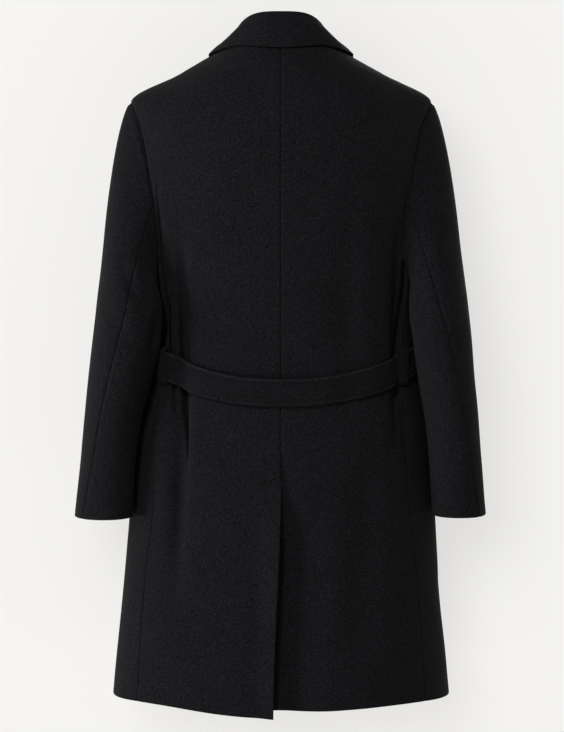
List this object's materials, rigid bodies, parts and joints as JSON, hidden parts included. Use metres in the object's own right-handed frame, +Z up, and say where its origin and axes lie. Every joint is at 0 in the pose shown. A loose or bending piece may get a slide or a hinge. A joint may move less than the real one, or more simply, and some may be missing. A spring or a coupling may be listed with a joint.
{
  "type": "topcoat",
  "caption": "Hollow black wool topcoat filled out as if worn, with folded collar, two-piece sleeves, loose belt in side loops and a centre back vent.",
  "frame": {"origin": "where the coat is held up, on the middle plane, level with the inner ends of the shoulders", "axes": "+Z up, +Y to the front of the coat, -X to the side of its left sleeve"},
  "size_m": [0.6288, 0.2729, 1.055],
  "materials": {
    "black_wool": "felted wool with a short, dull nap",
    "belt_wool": "the same felted wool, doubled and topstitched",
    "black_horn": "satin dark horn"
  },
  "bodies": {
    "root": {"back_left": "black_wool", "back_right": "black_wool", "front_left": "black_wool", "front_right": "black_wool", "sleeve_top_left": "black_wool", "sleeve_top_right": "black_wool", "sleeve_under_left": "black_wool", "sleeve_under_right": "black_wool", "collar": "black_wool", "belt": "belt_wool", "belt_loop_left": "belt_wool", "belt_loop_right": "belt_wool", "button_1": "black_horn", "button_2": "black_horn", "button_3": "black_horn", "button_4": "black_horn"}
  },
  "joints": []
}
